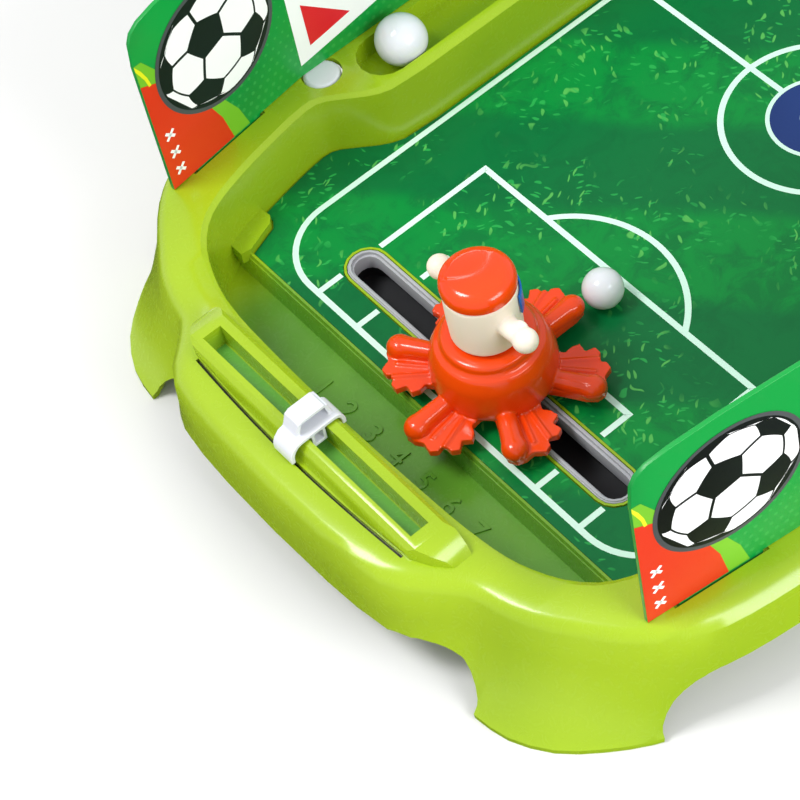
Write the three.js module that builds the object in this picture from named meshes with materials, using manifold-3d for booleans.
// Tabletop football game for two players: a moulded tray on four corner legs, a printed pitch,
// two spinning players that slide in slots, score rails with sliding clips, side boards and balls.
// Millimetres, +Z up. Origin: on the table surface, at the centre of the tray.
// X runs from goal to goal, Y runs across the pitch.

import * as THREE from 'three';
import { mergeGeometries, mergeVertices } from 'three/addons/utils/BufferGeometryUtils.js';
import Module from 'manifold-3d';

const wasm = await Module();
wasm.setup();
const { Manifold, Mesh: SolidMesh } = wasm;

// ---- driving dimensions ----
const GAP = 0.3; // clearance between pieces that touch
const WALL = 2.4; // wall of the moulded tray
const PITCH_Z = 20; // top of the printed sheet above the table
const SHEET_T = 0.6;
const DECK_TOP = PITCH_Z - SHEET_T - GAP;
const DECK_BOTTOM = DECK_TOP - 2.5;
const RAIL_Z = 47; // top of the side rails
const LEDGE_Z = 51.5; // top of the ledge outside each score rail
const RIDGE_Z = 58; // top of each score rail
const ARCH_Z = 24; // underside of the skirt between the legs
const END_ARCH_Z = 21.5;

const LIP_X = 183.5; // goal edge of the pitch
const LIP_TOP = PITCH_Z + 0.7;
const TROUGH_FLOOR = 11;
const TROUGH_FOOT_X = 187;
const TROUGH_BOTTOM = TROUGH_FLOOR - 2.4;

const SLOT_X = 158; // centre line of each player slot
const SLOT_HALF = 66; // half the straight length of a slot
const BEZEL_R = 7.5;
const BEZEL_INNER_R = 5.2;
const RIM_R = 9;

const RIDGE_IN = 218.6; // score rail, inner and outer foot
const RIDGE_OUT = 236.4;
const RIDGE_BOW = 2.4; // how far each rail's outer side curves in towards its ends
const RIDGE_HALF = 70;
const POCKET_IN = 223.6;
const POCKET_OUT = 231;
const POCKET_HALF = 55.5;
const POCKET_FLOOR = 48.5;

const TRAY_R = 10.7; // ball tray in each side rail
const TRAY_HALF = 101.5;
const TRAY_Y = 119.3;
const TRAY_FLOOR = 37.6;
const BALL_R = 10;
const MATCH_BALL_R = 7.5;
const MATCH_BALL = [-109.4, -6.7];

const BOARD_T = 1.6;
const BOARD_Y = 133.5; // centre line of a board's middle stretch
const BOARD_BEND_X = 130;
const BOARD_ANGLE = THREE.MathUtils.degToRad(7.45);
const BOARD_WING = 65.8;
const BOARD_TOP = 130.5;
const PLUG_X = 123.4;
const PLUG_Y = 129.2;
const PLUG_R = 7.2;

const PLAYER_Y = -6; // rest position of the near player along its slot
const FOOT_COUNT = 6;
const FOOT_REACH = 40.5;
const SPINNER_TURN = 4; // degrees, at rest
const HEAD_R = 12.8;
const CLIP_Y = 1.5;

// ---- helpers ----
const V2 = (x, y) => new THREE.Vector2(x, y);
const lerp = (a, b, t) => a + (b - a) * t;

function toSolid(geometry) {
  const bare = geometry.index ? geometry.clone() : mergeVertices(geometry.clone());
  bare.deleteAttribute('normal');
  bare.deleteAttribute('uv');
  const merged = mergeVertices(bare, 1e-4);
  return new Manifold(new SolidMesh({
    numProp: 3,
    vertProperties: new Float32Array(merged.attributes.position.array),
    triVerts: new Uint32Array(merged.index.array),
  }));
}

function toGeometry(solid) {
  const mesh = solid.getMesh();
  const geometry = new THREE.BufferGeometry();
  geometry.setAttribute('position', new THREE.BufferAttribute(new Float32Array(mesh.vertProperties), 3));
  geometry.setIndex(new THREE.BufferAttribute(new Uint32Array(mesh.triVerts), 1));
  geometry.computeVertexNormals();
  return geometry;
}

function join(...solids) {
  return solids.reduce((all, next) => all.add(next));
}

function box(x0, x1, y0, y1, z0, z1) {
  const g = new THREE.BoxGeometry(x1 - x0, y1 - y0, z1 - z0);
  g.translate((x0 + x1) / 2, (y0 + y1) / 2, (z0 + z1) / 2);
  return toSolid(g);
}

function cylinder(r, z0, z1, x = 0, y = 0, segments = 24) {
  const g = new THREE.CylinderGeometry(r, r, z1 - z0, segments);
  g.rotateX(Math.PI / 2);
  g.translate(x, y, (z0 + z1) / 2);
  return toSolid(g);
}

// Plan outline pushed up from z0 to z1.
function slab(points, z0, z1) {
  const g = new THREE.ExtrudeGeometry(new THREE.Shape(points), {
    depth: z1 - z0,
    bevelEnabled: false,
    curveSegments: 1,
  });
  g.translate(0, 0, z0);
  return toSolid(g);
}

// Outline drawn as (x, z) and pushed along Y, from y0 to y1.
function slabAlongY(points, y0, y1) {
  const g = new THREE.ExtrudeGeometry(new THREE.Shape(points), { depth: y1 - y0, bevelEnabled: false });
  g.rotateX(Math.PI / 2);
  g.translate(0, y1, 0);
  return toSolid(g);
}

// Outline drawn as (y, z) and pushed along X, from x0 to x1.
function slabAlongX(points, x0, x1) {
  const g = new THREE.ExtrudeGeometry(new THREE.Shape(points), { depth: x1 - x0, bevelEnabled: false });
  g.rotateX(Math.PI / 2);
  g.rotateZ(Math.PI / 2);
  g.translate(x0, 0, 0);
  return toSolid(g);
}

// Stadium outline about (x, y), long along Y or along X.
function stadium(x, y, half, r, alongX = false, steps = 8) {
  const points = [];
  for (const side of [1, -1]) {
    for (let i = 0; i <= steps; i += 1) {
      const a = (Math.PI * i) / steps + (side > 0 ? 0 : Math.PI);
      const across = r * Math.cos(a);
      const along = side * half + r * Math.sin(a);
      points.push(alongX ? V2(x + along, y - across) : V2(x + across, y + along));
    }
  }
  return points;
}

// Closed profile of (radius, height) turned about Z.
function turned(profile, segments) {
  const g = new THREE.LatheGeometry(profile.map(([r, z]) => V2(r, z)), segments);
  g.rotateX(Math.PI / 2);
  return toSolid(g);
}

// ---- tray: the rails, skirt and legs, lofted through ribs ----
// Each rib gives x and y of the inner edge, top edge, shoulder and foot, for one quarter.
const RIBS = [
  { inner: [215.6, 0], top: [245.6, 0], shoulder: [250.6, 0], foot: [253.4, 0], rim: LEDGE_Z },
  { inner: [215.2, 28], top: [245, 28], shoulder: [250, 28], foot: [253, 28], rim: LEDGE_Z },
  { inner: [214.2, 53], top: [241, 52.5], shoulder: [247, 55.5], foot: [250.6, 57], rim: LEDGE_Z - 0.5 },
  { inner: [212.6, 66], top: [231, 65.5], shoulder: [237.6, 68], foot: [246.6, 72], rim: 49.5 },
  { inner: [210.4, 76], top: [224, 76], shoulder: [229, 77.5], foot: [243.8, 81.5], rim: 47.6 },
  { inner: [207.4, 85], top: [221.2, 86.5], shoulder: [226, 88], foot: [243, 91], rim: RAIL_Z },
  { inner: [202.6, 95], top: [217, 97.5], shoulder: [221.8, 99.5], foot: [240.6, 104], rim: RAIL_Z },
  { inner: [195.6, 103.4], top: [209.8, 108.6], shoulder: [214, 111.8], foot: [233, 117.6], rim: RAIL_Z },
  { inner: [187, 108.6], top: [202, 119.6], shoulder: [206, 123], foot: [221.4, 128.4], rim: RAIL_Z },
  { inner: [177, 112], top: [192.4, 129.4], shoulder: [196.6, 132.2], foot: [208.4, 137.2], rim: RAIL_Z },
  { inner: [166, 114.8], top: [179, 134], shoulder: [183.6, 139.6], foot: [195, 143.2], rim: RAIL_Z },
  { inner: [152, 117.6], top: [165, 136.4], shoulder: [169, 143.8], foot: [179, 148], rim: RAIL_Z },
  { inner: [138, 119.6], top: [149, 138.6], shoulder: [151, 146.6], foot: [159, 151.4], rim: RAIL_Z },
  { inner: [130.4, 117.8], top: [135, 140], shoulder: [136, 148.4], foot: [140, 153], rim: RAIL_Z },
  { inner: [119, 109], top: [120, 140.4], shoulder: [120, 149], foot: [120, 153.6], rim: RAIL_Z },
  { inner: [110, 104.6], top: [109, 140.4], shoulder: [109, 149], foot: [109, 153.6], rim: RAIL_Z },
  { inner: [96, 103.6], top: [96, 140.4], shoulder: [96, 149], foot: [96, 153.6], rim: RAIL_Z },
  { inner: [0, 103.6], top: [0, 140.4], shoulder: [0, 149], foot: [0, 153.6], rim: RAIL_Z },
];
const STEPS_PER_RIB = 2;

function catmull(a, b, c, d, t) {
  const t2 = t * t;
  const t3 = t2 * t;
  return 0.5 * (2 * b + (c - a) * t + (2 * a - 5 * b + 4 * c - d) * t2 + (3 * b - a - 3 * c + d) * t3);
}

// The same rib in another quarter of the tray.
function movedRib(rib, signX, signY) {
  const place = ([x, y]) => [x * signX, y * signY];
  return {
    inner: place(rib.inner),
    top: place(rib.top),
    shoulder: place(rib.shoulder),
    foot: place(rib.foot),
    rim: rib.rim,
  };
}

function ribAt(index) {
  const last = RIBS.length - 1;
  if (index < 0) {
    return movedRib(RIBS[-index], 1, -1);
  }
  if (index > last) {
    return movedRib(RIBS[2 * last - index], -1, 1);
  }
  return RIBS[index];
}

function blendRibs(index, t) {
  const four = [ribAt(index - 1), ribAt(index), ribAt(index + 1), ribAt(index + 2)];
  const mix = (pick) => catmull(...four.map(pick), t);
  const pair = (key) => [mix((r) => r[key][0]), mix((r) => r[key][1])];
  return {
    inner: pair('inner'),
    top: pair('top'),
    shoulder: pair('shoulder'),
    foot: pair('foot'),
    rim: mix((r) => r.rim),
  };
}

function quarterStations() {
  const stations = [];
  for (let i = 0; i < RIBS.length - 1; i += 1) {
    const straight = i === 0 || i >= RIBS.length - 3;
    const steps = straight ? 1 : STEPS_PER_RIB;
    for (let s = 0; s < steps; s += 1) {
      stations.push(s === 0 ? ribAt(i) : blendRibs(i, s / steps));
    }
  }
  return stations;
}

function allStations() {
  const quarter = quarterStations();
  const end = RIBS[RIBS.length - 1];
  const turn = movedRib;
  const back = [...quarter.slice(1)].reverse();
  return [
    ...quarter.map((r) => turn(r, 1, 1)),
    turn(end, 1, 1),
    ...back.map((r) => turn(r, -1, 1)),
    ...quarter.map((r) => turn(r, -1, -1)),
    turn(end, 1, -1),
    ...back.map((r) => turn(r, 1, -1)),
  ];
}

// Cross-section of one rib as a closed ring of points, outer foot first.
function section(rib) {
  const dx = rib.top[0] - rib.inner[0];
  const dy = rib.top[1] - rib.inner[1];
  const across = Math.hypot(dx, dy);
  const ux = dx / across;
  const uy = dy / across;
  const fx = rib.foot[0] - rib.shoulder[0];
  const fy = rib.foot[1] - rib.shoulder[1];
  const flare = Math.hypot(fx, fy);
  const vx = fx / flare;
  const vy = fy / flare;
  const shoulderZ = rib.rim - 7;
  const at = (p, k, z, x = ux, y = uy) => [p[0] + x * k, p[1] + y * k, z];
  const between = (t, z, k = 0) => [
    lerp(rib.shoulder[0], rib.foot[0], t) - vx * k,
    lerp(rib.shoulder[1], rib.foot[1], t) - vy * k,
    z,
  ];
  const topMid = (t, z) => [lerp(rib.top[0], rib.shoulder[0], t), lerp(rib.top[1], rib.shoulder[1], t), z];
  return [
    between(1, 0),
    between(1, 2.2),
    between(0.86, 4.2),
    between(0.45, 17),
    between(0.12, 31),
    at(rib.shoulder, -0.6, shoulderZ + 2.2),
    topMid(0.55, rib.rim - 1.6),
    at(rib.top, 0, rib.rim),
    at(rib.inner, 2.4, rib.rim),
    at(rib.inner, 0.2, rib.rim - 1.4),
    at(rib.inner, -1.2, TROUGH_BOTTOM),
    at(rib.inner, WALL - 1.2, TROUGH_BOTTOM),
    at(rib.inner, WALL + 0.6, rib.rim - WALL),
    at(rib.top, -1, rib.rim - WALL),
    between(0, shoulderZ - 1.5, WALL),
    between(0.45, 16, WALL),
    between(0.86, 3.6, WALL),
    between(1, 0, WALL),
  ];
}

function loftRing(stations) {
  const rings = stations.map(section);
  const size = rings[0].length;
  const position = [];
  const index = [];
  rings.forEach((ring) => ring.forEach((p) => position.push(...p)));
  for (let i = 0; i < rings.length; i += 1) {
    const a = i * size;
    const b = ((i + 1) % rings.length) * size;
    for (let j = 0; j < size; j += 1) {
      const k = (j + 1) % size;
      index.push(a + j, b + j, b + k);
      index.push(a + j, b + k, a + k);
    }
  }
  const g = new THREE.BufferGeometry();
  g.setAttribute('position', new THREE.BufferAttribute(new Float32Array(position), 3));
  g.setIndex(index);
  return toSolid(g);
}

const stations = allStations();
const innerOutline = (out) => stations.map((rib) => {
  const dx = rib.top[0] - rib.inner[0];
  const dy = rib.top[1] - rib.inner[1];
  const across = Math.hypot(dx, dy);
  return V2(rib.inner[0] + (dx / across) * out, rib.inner[1] + (dy / across) * out);
});

function curved(points, steps) {
  const curve = new THREE.SplineCurve(points);
  return curve.getPoints(steps);
}

// Opening between two legs, as half of an arch from the table up to its flat top.
function archOutline(reach, foot, top) {
  const side = curved([
    V2(reach, -1),
    V2(reach - 1.2, top * 0.25),
    V2(reach - foot * 0.28, top * 0.58),
    V2(reach - foot * 0.62, top * 0.85),
    V2(reach - foot, top - 0.4),
    V2(reach - foot - 6, top),
  ], 9);
  const other = side.map((p) => V2(-p.x, p.y)).reverse();
  return [...side, ...other];
}

function scoreRail() {
  const profile = [
    V2(RIDGE_IN, 44),
    V2(RIDGE_OUT + 0.6, 44),
    V2(RIDGE_OUT, LEDGE_Z),
    V2(RIDGE_OUT - 1.6, RIDGE_Z - 2.2),
    V2(RIDGE_OUT - 3.4, RIDGE_Z - 0.4),
    V2(RIDGE_OUT - 5, RIDGE_Z),
    V2(RIDGE_IN + 1.6, RIDGE_Z),
    V2(RIDGE_IN, RIDGE_Z - 1.4),
  ];
  const hump = [];
  for (const [y, z] of [[70, 44], [69.4, 48.5], [67.4, 52.6], [64, 55.8], [60, 57.5], [56, RIDGE_Z + 1]]) {
    hump.push([y, z]);
  }
  const long = [
    ...hump.map(([y, z]) => V2(-y, z)),
    ...[...hump].reverse().map(([y, z]) => V2(y, z)),
  ].reverse();
  const plan = [];
  for (let i = -6; i <= 6; i += 1) {
    plan.push(V2(RIDGE_OUT + 0.6 - RIDGE_BOW * (i / 6) ** 2, i * 9.6));
  }
  plan.push(V2(230.6, 64.4), V2(226, 69), V2(220, 70.5), V2(RIDGE_IN - 1, 70.5));
  plan.push(V2(RIDGE_IN - 1, -70.5), V2(220, -70.5), V2(226, -69), V2(230.6, -64.4));
  return slabAlongY(profile, -RIDGE_HALF, RIDGE_HALF)
    .intersect(slabAlongX(long, RIDGE_IN - 5, RIDGE_OUT + 5))
    .intersect(slab(plan, 40, RIDGE_Z + 5));
}

function clipGroove() {
  const outer = [];
  const inner = [];
  for (let i = -6; i <= 6; i += 1) {
    const y = i * 9.2;
    const x = RIDGE_OUT + 1.7 - RIDGE_BOW * (i / 6) ** 2;
    outer.push(V2(x + 0.6, y));
    inner.push(V2(x - 0.6, y));
  }
  return slab([...outer, ...inner.reverse()], LEDGE_Z - 1.8, LEDGE_Z + 3);
}

function boardLine(offset) {
  const c = Math.cos(BOARD_ANGLE);
  const s = Math.sin(BOARD_ANGLE);
  const wing = (reach, off) => [BOARD_BEND_X + reach * c + off * s, BOARD_Y - reach * s + off * c];
  const [ex, ey] = wing(BOARD_WING, offset);
  const bendX = BOARD_BEND_X + offset * Math.tan(BOARD_ANGLE / 2);
  return [V2(-ex, ey), V2(-bendX, BOARD_Y + offset), V2(bendX, BOARD_Y + offset), V2(ex, ey)];
}

function wingPlate(from, to, halfT, z0, z1) {
  const c = Math.cos(BOARD_ANGLE);
  const s = Math.sin(BOARD_ANGLE);
  const at = (reach, off) => V2(BOARD_BEND_X + reach * c + off * s, BOARD_Y - reach * s + off * c);
  return slab([at(from, -halfT), at(to, -halfT), at(to, halfT), at(from, halfT)], z0, z1);
}

const flipX = (solid) => solid.mirror([1, 0, 0]);
const flipY = (solid) => solid.mirror([0, 1, 0]);
const onBothEnds = (solid) => join(solid, flipX(solid));
const onAllFour = (solid) => onBothEnds(join(solid, flipY(solid)));

const TAB_FROM = 22;
const TAB_TO = 54;
const TAB_DEPTH = 6;

function buildTray() {
  const ring = loftRing(stations);

  let deck = slab(innerOutline(0.4), TROUGH_BOTTOM, DECK_TOP);
  deck = deck.subtract(box(-LIP_X + 2.4, LIP_X - 2.4, -130, 130, TROUGH_BOTTOM - 1, DECK_BOTTOM));
  const trough = slabAlongY([
    V2(LIP_X + 1.2, DECK_TOP + 4),
    V2(TROUGH_FOOT_X, TROUGH_FLOOR),
    V2(230, TROUGH_FLOOR),
    V2(230, DECK_TOP + 4),
  ], -125, 125).intersect(slab(innerOutline(0.3), 5, 40));
  deck = deck.subtract(onBothEnds(trough));

  const lip = slabAlongY([
    V2(LIP_X + 0.1, DECK_TOP - 1.5),
    V2(LIP_X + 1.9, DECK_TOP - 1.5),
    V2(LIP_X + 1.1, LIP_TOP),
    V2(LIP_X + 0.1, LIP_TOP),
  ], -125, 125).intersect(slab(innerOutline(0.4), 5, 40));
  const block = slab([
    V2(188, 101.6), V2(184, 101), V2(171.4, 105.6), V2(169.4, 108.4), V2(170, 115), V2(188, 115),
  ], DECK_TOP - 1, PITCH_Z + 3.4).intersect(slab(innerOutline(0.6), 5, 40));

  const rim = slab(stadium(SLOT_X, 0, SLOT_HALF, RIM_R - GAP), DECK_TOP - 1, PITCH_Z + 0.5);
  const bosses = join(
    cylinder(4, 9.2, DECK_BOTTOM + 0.5, SLOT_X, 86),
    cylinder(4, 9.2, DECK_BOTTOM + 0.5, SLOT_X, -86),
  );
  const ballTub = slab(stadium(0, TRAY_Y, TRAY_HALF, TRAY_R + 2, true), TRAY_FLOOR - 2, RAIL_Z - 1);

  const tray = join(
    ring,
    deck,
    onBothEnds(lip),
    onAllFour(block),
    onBothEnds(rim),
    onBothEnds(bosses),
    onBothEnds(scoreRail()),
    ballTub,
    flipY(ballTub),
  );

  const slotHole = slab(stadium(SLOT_X, 0, SLOT_HALF, BEZEL_R + GAP), 5, PITCH_Z + 6);
  const pilots = join(
    cylinder(1.6, 5, DECK_BOTTOM + 0.6, SLOT_X, 86, 12),
    cylinder(1.6, 5, DECK_BOTTOM + 0.6, SLOT_X, -86, 12),
  );
  const pocket = box(POCKET_IN, POCKET_OUT, -POCKET_HALF, POCKET_HALF, POCKET_FLOOR, RIDGE_Z + 5);
  const ballCut = slab(stadium(0, TRAY_Y, TRAY_HALF, TRAY_R, true), TRAY_FLOOR, RAIL_Z + 5);
  const plugHole = cylinder(PLUG_R + 0.6, 36, RAIL_Z + 5, PLUG_X, PLUG_Y, 20);
  const tabHole = wingPlate(TAB_FROM - 2, TAB_TO + 2, BOARD_T / 2 + 0.8, 36, RAIL_Z + 5);
  const midTab = box(-21, 21, BOARD_Y - BOARD_T / 2 - 0.6, BOARD_Y + BOARD_T / 2 + 0.6, 36, RAIL_Z + 5);
  const endArch = slabAlongX(archOutline(90, 22, END_ARCH_Z), 224, 262);
  const sideArch = slabAlongY(archOutline(205, 20, ARCH_Z), 134, 162);
  const cuts = join(
    onBothEnds(slotHole),
    onBothEnds(pilots),
    onBothEnds(pocket),
    onBothEnds(clipGroove()),
    ballCut,
    flipY(ballCut),
    onAllFour(plugHole),
    onAllFour(tabHole),
    midTab,
    flipY(midTab),
    onBothEnds(endArch),
    sideArch,
    flipY(sideArch),
  );
  return tray.subtract(cuts);
}

function buildSheet() {
  let sheet = slab(innerOutline(-1.7), PITCH_Z - SHEET_T, PITCH_Z);
  sheet = sheet.intersect(box(-LIP_X + 0.3, LIP_X - 0.3, -130, 130, 0, 60));
  const block = slab([
    V2(190, 101), V2(183.8, 100.6), V2(171, 105.2), V2(168.9, 108.2), V2(169.4, 116), V2(190, 116),
  ], 5, 40);
  sheet = sheet.subtract(onAllFour(block));
  return sheet.subtract(onBothEnds(slab(stadium(SLOT_X, 0, SLOT_HALF, RIM_R), 5, 40)));
}

function buildBezel() {
  const body = join(
    slab(stadium(0, 0, SLOT_HALF, BEZEL_R), 13, PITCH_Z + 0.4),
    slab(stadium(0, 0, SLOT_HALF, BEZEL_R - 0.5), 14, PITCH_Z + 0.9),
  );
  const mouth = join(
    slab(stadium(0, 0, SLOT_HALF, BEZEL_INNER_R), 10, 30),
    slab(stadium(0, 0, SLOT_HALF, BEZEL_INNER_R + 0.9), PITCH_Z - 0.6, 30),
  );
  return body.subtract(mouth);
}

function buildChannel() {
  const body = join(
    slab(stadium(0, 0, SLOT_HALF, 10.2), 3.2, DECK_BOTTOM - GAP),
    cylinder(5.6, 6.6, 8.8, 0, 86),
    cylinder(5.6, 6.6, 8.8, 0, -86),
    box(-4.5, 4.5, 70, 86, 6.6, 8.8),
    box(-4.5, 4.5, -86, -70, 6.6, 8.8),
  );
  const hollow = slab(stadium(0, 0, SLOT_HALF, 8.1), 4.8, 30);
  const holes = join(cylinder(1.8, 0, 12, 0, 86, 12), cylinder(1.8, 0, 12, 0, -86, 12));
  return body.subtract(hollow).subtract(holes);
}

function buildChannelScrew() {
  return join(cylinder(3, 4.4, 6.3, 0, 0, 14), cylinder(1.25, 6, 15.4, 0, 0, 10));
}

function buildCarriage() {
  const runner = slab(stadium(0, 0, 8, 7.2), 5.1, 12.6);
  const neck = slab(stadium(0, 0, 8, BEZEL_INNER_R - 0.35), 12, 21.4);
  const plate = cylinder(11, 21.2, 23, 0, 0, 24);
  const post = cylinder(3, 22, 41, 0, 0, 16);
  const bore = cylinder(1.9, 2, 42, 0, 0, 12);
  const recess = cylinder(3.6, 2, 7.8, 0, 0, 14);
  return join(runner, neck, plate, post).subtract(bore).subtract(recess);
}

function buildPivotScrew() {
  return join(cylinder(3.2, 5.6, 7.5, 0, 0, 14), cylinder(1.5, 7.2, 47.2, 0, 0, 10));
}

// One boot: a leg that leaves the dome, a raised toe on one side and torn studs on the other.
function bootOutline() {
  return [
    V2(14, -5.5),
    V2(25, -5.2),
    V2(33, -6.2),
    V2(37.4, -6),
    V2(40, -3.2),
    V2(40.2, 0.4),
    V2(38.2, 3),
    V2(39.6, 6),
    V2(38.4, 9.4),
    V2(34.8, 9.2),
    V2(35.6, 12.4),
    V2(33.4, 14.8),
    V2(29.6, 12.6),
    V2(28.4, 15.4),
    V2(25.4, 15.2),
    V2(23.4, 11.4),
    V2(14, 10.5),
  ];
}

function buildSpinner(turn) {
  let dome = turned([
    [0, 24.6], [19.5, 24.6], [22, 28], [22.6, 33], [21.6, 40.4],
    [19.6, 45.4], [18.5, 46.6], [16.9, 47], [16.2, 49.6], [14.2, 50.2], [0, 50.7],
  ], 26);
  const boot = (a) => {
    const sole = slab(bootOutline(), 24.6, 29.6);
    const upper = slabAlongX([V2(-5.2, 28), V2(3.4, 28), V2(-0.6, 33.4), V2(-3.4, 34.6)], 16, 33);
    const toe = cylinder(4.1, 25, 32.4, 35.6, -2.6, 9);
    return join(sole, upper, toe).rotate([0, 0, a]);
  };
  for (let i = 0; i < FOOT_COUNT; i += 1) {
    dome = dome.add(boot(turn + (360 / FOOT_COUNT) * i));
  }
  const under = cylinder(12.5, 20, 26.2, 0, 0, 18);
  const bore = join(cylinder(3.35, 20, 41.8, 0, 0, 16), cylinder(1.9, 40, 47.6, 0, 0, 10));
  return dome.subtract(under).subtract(bore).intersect(cylinder(FOOT_REACH, 20, 60, 0, 0, 60));
}

function buildHead() {
  const body = turned([
    [0, 51], [12, 51], [12.6, 51.6], [HEAD_R, 60], [HEAD_R, 74.4], [0, 74.4],
  ], 24);
  const arm = (side) => {
    const stem = new THREE.CylinderGeometry(3.1, 2.5, 12, 10);
    stem.translate(0, side * 16, 0);
    const stemSolid = toSolid(stem.clone()).translate([0, 0, 64.6]);
    const hand = new THREE.SphereGeometry(4.3, 10, 7);
    hand.translate(0, side * 22.4, 64.8);
    return join(stemSolid, toSolid(hand));
  };
  return join(body, arm(1), arm(-1));
}

function buildCap() {
  return turned([
    [0, 74.8], [13.3, 75.2], [13.3, 78.8], [12.4, 81.4], [10.6, 82.6],
    [8.8, 82.2], [5, 80.5], [0, 80],
  ], 24);
}

function buildVisor() {
  const outer = turned([[0, 62.6], [13.9, 62.6], [13.9, 71.6], [0, 71.6]], 36);
  const inner = cylinder(13.2, 60, 75, 0, 0, 36);
  const front = slab([V2(0, 0), V2(20, -30), V2(40, 0), V2(20, 30)], 60, 75);
  const nose = box(10, 20, -1.6, 1.6, 60, 65);
  return outer.subtract(inner).intersect(front).subtract(nose);
}

// Score clip: bridges the rail, with an open window in its top and a hook in the pocket.
function buildClip() {
  const half = 5;
  const top = slabAlongY([
    V2(217.6, 58.4), V2(217.6, 61.2), V2(219.6, 63.2), V2(233.6, 63.2), V2(237.8, 60.6),
    V2(239.8, 56), V2(239.8, 52), V2(237.7, 52), V2(237.4, 55.6), V2(234.8, 58.4),
  ], -half, half);
  const innerLeg = slabAlongY([
    V2(215.9, 53), V2(217.9, 53), V2(218.3, 59), V2(220, 61), V2(217.4, 61), V2(215.9, 58),
  ], -half + 1.2, half - 1.2);
  const hook = box(224.4, 230, -2.6, 2.6, 52, 59);
  const window = box(221.4, 232.4, -3.2, 3.2, 59.6, 70);
  const eye = box(225.8, 228.8, -10, 10, 53.6, 57);
  return join(top, innerLeg, hook).subtract(window).subtract(eye);
}

function buildBoard() {
  const inside = boardLine(-BOARD_T / 2);
  const outside = boardLine(BOARD_T / 2);
  let board = slab([...inside, ...outside.reverse()], RAIL_Z + GAP, BOARD_TOP);
  const end = BOARD_BEND_X + BOARD_WING * Math.cos(BOARD_ANGLE) + 1;
  const corner = slabAlongY([
    V2(end + 5, BOARD_TOP - 20), V2(end + 5, BOARD_TOP + 5),
    V2(end - 34, BOARD_TOP + 5), V2(end - 34, BOARD_TOP),
    V2(end - 16, BOARD_TOP - 1.2), V2(end - 8, BOARD_TOP - 2.8), V2(end - 4, BOARD_TOP - 5.2),
    V2(end - 2, BOARD_TOP - 9), V2(end - 0.8, BOARD_TOP - 20),
  ], 100, 150);
  board = board.subtract(onBothEnds(corner));
  const tab = wingPlate(TAB_FROM, TAB_TO, BOARD_T / 2, RAIL_Z - TAB_DEPTH, RAIL_Z + 2);
  const middle = box(-19, 19, BOARD_Y - BOARD_T / 2, BOARD_Y + BOARD_T / 2, RAIL_Z - TAB_DEPTH, RAIL_Z + 2);
  return join(board, onBothEnds(tab), middle);
}

function buildPlug() {
  return turned([
    [0, 40], [PLUG_R - 1, 40], [PLUG_R, 41.2], [PLUG_R, 45.8], [PLUG_R - 1.2, 46.8], [0, 46.4],
  ], 20);
}

// ---- assembly ----
const object = new THREE.Group();

function paint(color, roughness, metalness = 0) {
  return new THREE.MeshStandardMaterial({ color, roughness, metalness });
}

function addPiece(name, solid, material, x = 0, y = 0, parent = object) {
  const mesh = new THREE.Mesh(toGeometry(solid), material);
  mesh.name = name;
  mesh.position.set(x, y, 0);
  parent.add(mesh);
  return mesh;
}

const LIME = 0x9dc62a;
addPiece('tray', buildTray(), paint(LIME, 0.32));
addPiece('pitch_sheet', buildSheet(), paint(0x0e8f45, 0.4));

const ends = [
  { tag: 'orange', turn: 0, color: 0xef4b12 },
  { tag: 'blue', turn: Math.PI, color: 0x1566c8 },
];
for (const { tag, turn, color } of ends) {
  const end = new THREE.Group();
  end.rotation.z = turn;
  object.add(end);
  addPiece(`slot_bezel_${tag}`, buildBezel(), paint(0x9a9da3, 0.35), -SLOT_X, 0, end);
  addPiece(`slot_channel_${tag}`, buildChannel(), paint(0x1c1d20, 0.5), -SLOT_X, 0, end);
  for (const [side, y] of [['left', 86], ['right', -86]]) {
    addPiece(`channel_screw_${tag}_${side}`, buildChannelScrew(), paint(0xb5b8bd, 0.3, 1), -SLOT_X, y, end);
  }
  addPiece(`carriage_${tag}`, buildCarriage(), paint(0x2a2b2f, 0.5), -SLOT_X, PLAYER_Y, end);
  addPiece(`pivot_screw_${tag}`, buildPivotScrew(), paint(0xb5b8bd, 0.3, 1), -SLOT_X, PLAYER_Y, end);
  addPiece(`spinner_${tag}`, buildSpinner(SPINNER_TURN), paint(color, 0.3), -SLOT_X, PLAYER_Y, end);
  addPiece(`head_${tag}`, buildHead(), paint(0xf0dcc4, 0.4), -SLOT_X, PLAYER_Y, end);
  addPiece(`cap_${tag}`, buildCap(), paint(color, 0.2), -SLOT_X, PLAYER_Y, end);
  addPiece(`visor_${tag}`, buildVisor(), paint(0x1a6fc4, 0.4), -SLOT_X, PLAYER_Y, end);
  addPiece(`score_clip_${tag}`, flipX(buildClip()), paint(0xf4f4f6, 0.3), 0, CLIP_Y, end);
}

for (const [side, sign] of [['far', 1], ['near', -1]]) {
  const board = sign > 0 ? buildBoard() : flipY(buildBoard());
  addPiece(`side_board_${side}`, board, paint(0x0f9d48, 0.45));
  for (const [end, way] of [['left', -1], ['right', 1]]) {
    addPiece(`board_plug_${side}_${end}`, buildPlug(), paint(0xeceef2, 0.3), way * PLUG_X, sign * PLUG_Y);
  }
}

function buildBall(r, z) {
  const g = new THREE.SphereGeometry(r, 16, 10);
  g.rotateX(Math.PI / 2);
  g.translate(0, 0, z + r + GAP);
  return toSolid(g);
}

addPiece('spare_ball_far', buildBall(BALL_R, TRAY_FLOOR), paint(0xf2f3f7, 0.25), -93.3, TRAY_Y);
addPiece('spare_ball_near', buildBall(BALL_R, TRAY_FLOOR), paint(0xf2f3f7, 0.25), 93.3, -TRAY_Y);
addPiece('match_ball', buildBall(MATCH_BALL_R, PITCH_Z), paint(0xf2f3f7, 0.25), ...MATCH_BALL);

export default object;
